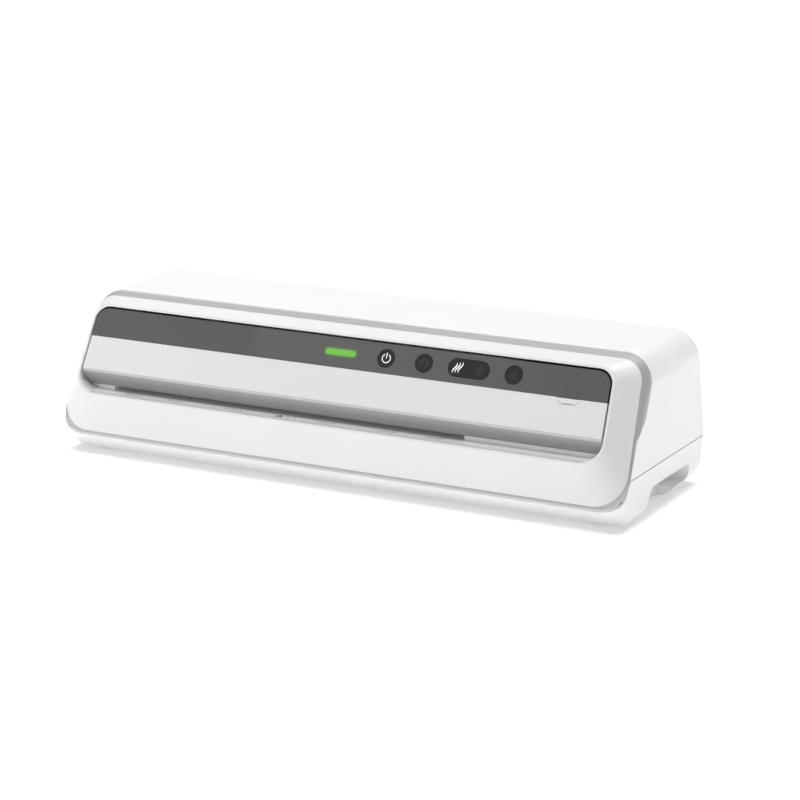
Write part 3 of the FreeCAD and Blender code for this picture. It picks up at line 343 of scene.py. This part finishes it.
# ---------------------------------------------------------------- finishes
def finishes():
    """A procedural material for each material slot of the record, and a paler copy of the guide's grey with
    painted light for the pouch guide.
    """
    white = (0.88, 0.883, 0.878)
    return {
        "case_white": moulded("case_white", white, 0.34, shade=painted_seam_shade),
        "tray_white": moulded("tray_white", white, 0.38, shade=painted_seam_shade),
        "frame_white": moulded("frame_white", (0.815, 0.817, 0.815), 0.3, grain=0.0000012,
                               shade=painted_recess_shade, fill=painted_table_light),
        "accent_grey": moulded("accent_grey", (0.4, 0.401, 0.4), 0.36, specular=0.6, shade=band_painted_light),
        "panel_grey": moulded("panel_grey", (0.787, 0.788, 0.786), 0.4, shade=painted_lip_shade),
        "guide_grey": moulded("guide_grey", (0.5, 0.505, 0.51), 0.42),
        "guide_grey_painted_lit": moulded("guide_grey_painted_lit", (0.84, 0.845, 0.85), 0.42, fill=painted_guide_light),
        "tab_grey": moulded("tab_grey", (0.787, 0.788, 0.786), 0.4),
        "key_dark": moulded("key_dark", (0.022, 0.022, 0.024), 0.3, grain=0.000004),
        "component_black": moulded("component_black", (0.03, 0.03, 0.032), 0.5, grain=0.00002),
        "inlet_black": moulded("inlet_black", (0.025, 0.025, 0.027), 0.42, grain=0.00002),
        "block_nylon": moulded("block_nylon", (0.06, 0.06, 0.065), 0.5, grain=0.00003),
        "standoff_nylon": moulded("standoff_nylon", (0.8, 0.79, 0.72), 0.45),
        "gear_nylon": moulded("gear_nylon", (0.84, 0.82, 0.74), 0.38),
        "circuit_board": circuit_board("circuit_board"),
        "pin_brass": metal("pin_brass", (0.85, 0.8, 0.68), 0.28),
        "bush_bronze": metal("bush_bronze", (0.56, 0.36, 0.18), 0.42),
        "screw_steel": metal("screw_steel", (0.6, 0.6, 0.62), 0.34),
        "plate_steel": metal("plate_steel", (0.62, 0.64, 0.66), 0.38),
        "shaft_steel": metal("shaft_steel", (0.6, 0.61, 0.63), 0.22),
        "spring_steel": metal("spring_steel", (0.4, 0.4, 0.42), 0.3),
        "motor_steel": metal("motor_steel", (0.55, 0.56, 0.58), 0.3),
        "shoe_aluminium": metal("shoe_aluminium", (0.78, 0.79, 0.8), 0.35, grain=(2.0, 500.0, 500.0)),
        "roller_silicone": rubbery("roller_silicone", (0.32, 0.06, 0.035), 0.55),
        "foot_rubber": rubbery("foot_rubber", (0.16, 0.16, 0.165)),
        "lead_red": rubbery("lead_red", (0.35, 0.03, 0.025), 0.45),
        "lead_black": rubbery("lead_black", (0.03, 0.03, 0.03), 0.45),
        "strip_dark": lit_overlay("strip_dark", 0.3),
        "ready_light": lit_overlay("ready_light", 0.34),
    }


# ---------------------------------------------------------------- CAD nodes: edges and materials
WELD_DISTANCE = 0.004          # mm
SHARP_ANGLE = 32.0             # edges that turn by more than this are rounded
EDGE_RADII = {"front_bezel": 0.7, "top_cover": 0.3, "base_tray": 0.5, "entry_panel": 0.6}  # mm


def round_edges(obj, width):
    """Welds the imported faces together and rounds every hard edge by width, in millimetres."""
    weld = obj.modifiers.new("weld", "WELD")
    weld.merge_threshold = WELD_DISTANCE * MM
    bevel = obj.modifiers.new("bevel", "BEVEL")
    bevel.width = width * MM
    bevel.segments = 3
    bevel.limit_method = "ANGLE"
    bevel.angle_limit = math.radians(SHARP_ANGLE)
    bevel.use_clamp_overlap = True
    bevel.harden_normals = True
    bevel.miter_outer = "MITER_ARC"


def dress_nodes(made):
    """Gives each CAD node its finish; the lower guide gets a paler copy of its slot's grey, which with its
    glow is painted light in the slot.
    """
    slots = {s["node"]: s["material_slot"] for s in frame["record"]["subparts"]}
    for name, obj in nodes.items():
        obj.data.materials.clear()
        obj.data.materials.append(made["guide_grey_painted_lit" if name == "pouch_guide_lower" else slots[name]])


# ---------------------------------------------------------------- printed marks
def sections_of(path, width, taper=0.12):
    """Centre, side direction and half width of each cross-section of a stroke with rounded ends."""
    path = [Vector(p) for p in path]
    sections = []
    last = len(path) - 1
    for i, point in enumerate(path):
        tangent = (path[min(i + 1, last)] - path[max(i - 1, 0)]).normalized()
        side = Vector((-tangent.y, tangent.x))
        half = width[i] / 2 if isinstance(width, list) else width / 2
        if i == 0:
            sections += [(point - tangent * half * math.cos(a), side, half * max(math.sin(a), taper))
                         for a in (0.0, 0.5, 1.0)]
        sections.append((point, side, half))
        if i == last:
            sections += [(point + tangent * half * math.cos(a), side, half * max(math.sin(a), taper))
                         for a in (1.0, 0.5, 0.0)]
    return sections


def add_stroke(bm, path, width, place, thickness):
    """A raised printed line along a path of points in mm; place turns (a, b, out) into metres."""
    rings = []
    for centre, side, half in sections_of(path, width):
        left, right = centre + side * half, centre - side * half
        rings.append([bm.verts.new(place(p.x, p.y, out))
                      for p, out in ((left, 0.0), (right, 0.0), (right, thickness), (left, thickness))])
    for a, b in zip(rings, rings[1:]):
        for k in range(4):
            bm.faces.new((a[k], b[k], b[(k + 1) % 4], a[(k + 1) % 4]))
    bm.faces.new(rings[0])
    bm.faces.new(list(reversed(rings[-1])))


def arc(radius, start, stop, count=28, centre=(0.0, 0.0)):
    angles = [math.radians(start + (stop - start) * i / (count - 1)) for i in range(count)]
    return [(centre[0] + radius * math.cos(a), centre[1] + radius * math.sin(a)) for a in angles]


def add_patch(bm, corners, place, thickness):
    """A raised printed area with straight sides, from its corners in mm."""
    low = [bm.verts.new(place(x, y, 0.0)) for x, y in corners]
    high = [bm.verts.new(place(x, y, thickness)) for x, y in corners]
    bm.faces.new(high)
    bm.faces.new(list(reversed(low)))
    for k in range(len(corners)):
        after = (k + 1) % len(corners)
        bm.faces.new((low[k], low[after], high[after], high[k]))


def add_mark(name, body, strokes, place, material, thickness=0.06, patches=()):
    """One piece for a group of strokes, each a path and its width, and of flat patches."""
    bm = bmesh.new()
    for path, width in strokes:
        add_stroke(bm, path, width, place, thickness)
    for corners in patches:
        add_patch(bm, corners, place, thickness)
    bmesh.ops.recalc_face_normals(bm, faces=bm.faces)
    mesh = bpy.data.meshes.new(name)
    bm.to_mesh(mesh)
    bm.free()
    mesh.materials.append(material)
    piece = bpy.data.objects.new(name, mesh)
    scene.collection.objects.link(piece)
    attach(piece, body)


def ink(name, color, glow=0.0):
    """Printing ink, which glows where a lamp stands behind it."""
    t = Tree(name)
    grain = t.noise(2400.0, 3.0)
    t.set(Base_Color=t.blend(grain, rgba(color, 0.92), rgba(color, 1.05)))
    t.set(Roughness=t.remap(grain, 0.32, 0.44))
    t.bump(grain, 0.000004)
    t.shader.inputs["Emission Color"].default_value = (1.0, 1.0, 1.0, 1.0)
    t.shader.inputs["Emission Strength"].default_value = glow
    return t.material


def key_place(node, shift=0.0):
    """Places strokes on a key's top, from the key's middle plus a shift along it."""
    x0 = middle_x(node) + shift
    return lambda a, b, out: on_face(x0 + a, KEY_UP + b, KEY_TOP - 0.01 + out)


def table_place(a, b, out):
    """Places strokes on the pouch table, b towards the back."""
    return Vector((a * MM, b * MM, TABLE_Z + (out - 0.01) * MM))


def wave(lean, bend, height, count=15):
    """A leaning S-shaped line and its width, which thins at both ends."""
    steps = [2 * i / (count - 1) - 1 for i in range(count)]
    path = [(lean * s + bend * math.sin(math.pi * s), height / 2 * s) for s in steps]
    return path, [0.3 + 0.75 * (1 - s * s) for s in steps]


def shifted(path, dx, dy=0.0):
    return [(x + dx, y + dy) for x, y in path]


def add_key_marks():
    """Generic symbols: power, turn back, hot, cold and release. Only power and hot are lit."""
    lit = ink("mark_lit", (0.9, 0.9, 0.9), 0.35)
    dim = ink("mark_dim", (0.058, 0.058, 0.058))
    add_mark("power_mark", "power_key",
             [(arc(3.75, 125, 415, 40), 0.75), ([(0, 0.4), (0, 4.5)], 0.75)], key_place("key_power"), lit)
    add_mark("reverse_mark", "reverse_key",
             [(arc(3.3, 200, -70, 30), 0.8), ([(-4.9, 0.4), (-3.2, -1.6), (-1.5, 0.6)], 0.8)],
             key_place("key_reverse"), dim)
    line, widths = wave(1.5, 0.7, 8.8)
    half_apart = 10.2
    add_mark("hot_mark", "hot_cold_key",
             [(shifted(line, dx, dy), widths) for dx, dy in ((-2.6, -0.4), (0.0, 0.0), (2.6, 0.4))],
             key_place("key_hot_cold", -half_apart), lit)
    arms = []
    for k in range(6):
        turn = math.radians(30 + 60 * k)
        tip = Vector((math.cos(turn), math.sin(turn)))
        arms.append(([tip * 0.5, tip * 4.3], 0.55))
        for bend in (-0.6, 0.6):
            barb = Vector((math.cos(turn + bend), math.sin(turn + bend)))
            arms.append(([tip * 2.4, tip * 2.4 + barb * 1.3], 0.45))
    add_mark("cold_mark", "hot_cold_key", arms, key_place("key_hot_cold", half_apart), dim)
    add_mark("release_mark", "release_key",
             [([(-2.6, -2.6), (2.6, -2.6)], 0.8), ([(-2.6, 0.0), (0.0, 3.0), (2.6, 0.0)], 0.8),
              ([(-2.6, 0.0), (2.6, 0.0)], 0.8)], key_place("key_release"), dim)


POUCH_HALVES = (53.5, 111.5, 155.0)  # ticks for photo card, A4 and A3 pouches, from the slot's middle
DASHES, DASH_GAP = (2.6, 1.6, 2.4, 1.8), 1.9


def add_table_marks():
    """Corner ticks for three pouch widths, each with a row of plain dashes, and an arrow with a sheet."""
    grey = ink("mark_grey", (0.27, 0.27, 0.27))
    centre = middle_x("front_lower_sleeve")
    strokes = []
    for half in POUCH_HALVES:
        for side in (-1, 1):
            edge = centre + side * half
            strokes.append(([(edge, TICK_Y - 1.6), (edge, TICK_Y + 4.4)], 0.6))
            start = edge - side * 2.0
            for length in DASHES:
                strokes.append(([(start, TICK_Y), (start - side * length, TICK_Y)], 1.2))
                start -= side * (length + DASH_GAP)
    add_mark("table_marks", "case", strokes, table_place, grey, 0.05)
    outline = [(9.6, -3.5), (9.6, 3.0), (13.6, 3.0), (15.6, 1.2), (15.6, -3.5)]
    path = [(centre + x, TICK_Y + y) for x, y in outline]
    sheet = [([a, b], 0.45) for a, b in zip(path, path[1:])]
    arrow = [(centre - 4.5, TICK_Y - 2.5), (centre + 4.5, TICK_Y - 2.5), (centre, TICK_Y + 4.0)]
    add_mark("feed_mark", "case", sheet, table_place, grey, 0.05, [arrow])


# ---------------------------------------------------------------- stage
FLOOR_HALF = 9.0               # m
# The painted contact shadow on the floor fades out from this box.
FOOTPRINT_HALF = (264.0, 79.0)  # mm, across and from front to back


def painted_contact_shadow(t, half):
    """Painted contact shadow: darkens the floor within a few millimetres of the machine's footprint."""
    beyond = [t.math("MAXIMUM", t.math("SUBTRACT", t.math("ABSOLUTE", t.along(axis)), reach), 0.0)
              for axis, reach in zip(((1, 0, 0), (0, 1, 0)), half)]
    squares = [t.math("MULTIPLY", value, value) for value in beyond]
    return t.smooth(t.math("SQRT", t.math("ADD", *squares)), 0.0, 10.0, 0.8, 1.0)


def add_stage():
    """A white floor that glows faintly, and more so far away, like a lit studio sweep, with a painted
    contact shadow round the machine.
    """
    mesh = bpy.data.meshes.new("floor")
    corners = [(x * FLOOR_HALF, y * FLOOR_HALF, 0) for x, y in ((-1, -1), (1, -1), (1, 1), (-1, 1))]
    mesh.from_pydata(corners, [], [(0, 1, 2, 3)])
    floor = bpy.data.objects.new("floor", mesh)
    scene.collection.objects.link(floor)
    t = Tree("floor")
    painted_shadow = painted_contact_shadow(t, FOOTPRINT_HALF)
    paper = t.blend(t.noise(0.8), rgba((0.93, 0.93, 0.93)), rgba((0.95, 0.95, 0.95)))
    t.set(Base_Color=t.multiply(paper, painted_shadow))
    t.set(Roughness=0.8)
    t.shader.inputs["Emission Color"].default_value = (1.0, 1.0, 1.0, 1.0)
    far = t.add("VectorMath", {"operation": "LENGTH"})
    t.plug(far.inputs[0], t.where)
    glow = t.smooth(far.outputs["Value"], 0.3, 2.5, 0.34, 0.9)
    t.set(Emission_Strength=t.math("MULTIPLY", glow, painted_shadow))
    mesh.materials.append(t.material)


def add_area(name, location, target, size, power):
    """A soft box of the given size in m and power in W, turned to the target."""
    light = bpy.data.lights.new(name, "AREA")
    light.shape = "RECTANGLE"
    light.size, light.size_y = size
    light.energy = power
    obj = bpy.data.objects.new(name, light)
    obj.location = location
    obj.rotation_euler = (Vector(location) - Vector(target)).to_track_quat("Z", "Y").to_euler()
    scene.collection.objects.link(obj)


def add_lights():
    """Soft boxes overhead, low at the front left and low at the back right, in white surroundings."""
    add_area("top", (-0.2, 0.3, 2.2), (0, 0, 0), (2.6, 2.0), 60)
    add_area("front", (-2.3, -2.0, 0.8), (0, 0, 0.05), (2.0, 1.4), 16)
    add_area("right", (2.2, 2.0, 0.8), (0, 0, 0.05), (1.6, 1.2), 6.0)
    world = bpy.data.worlds.new("world")
    world.use_nodes = True
    world.node_tree.nodes["Background"].inputs["Color"].default_value = (1, 1, 1, 1)
    world.node_tree.nodes["Background"].inputs["Strength"].default_value = 0.27
    scene.world = world


scene.view_settings.view_transform = "Standard"
add_camera()
made = finishes()
dress_nodes(made)
for node, width in EDGE_RADII.items():
    round_edges(nodes[node], width)
add_key_marks()
add_table_marks()
add_stage()
add_lights()
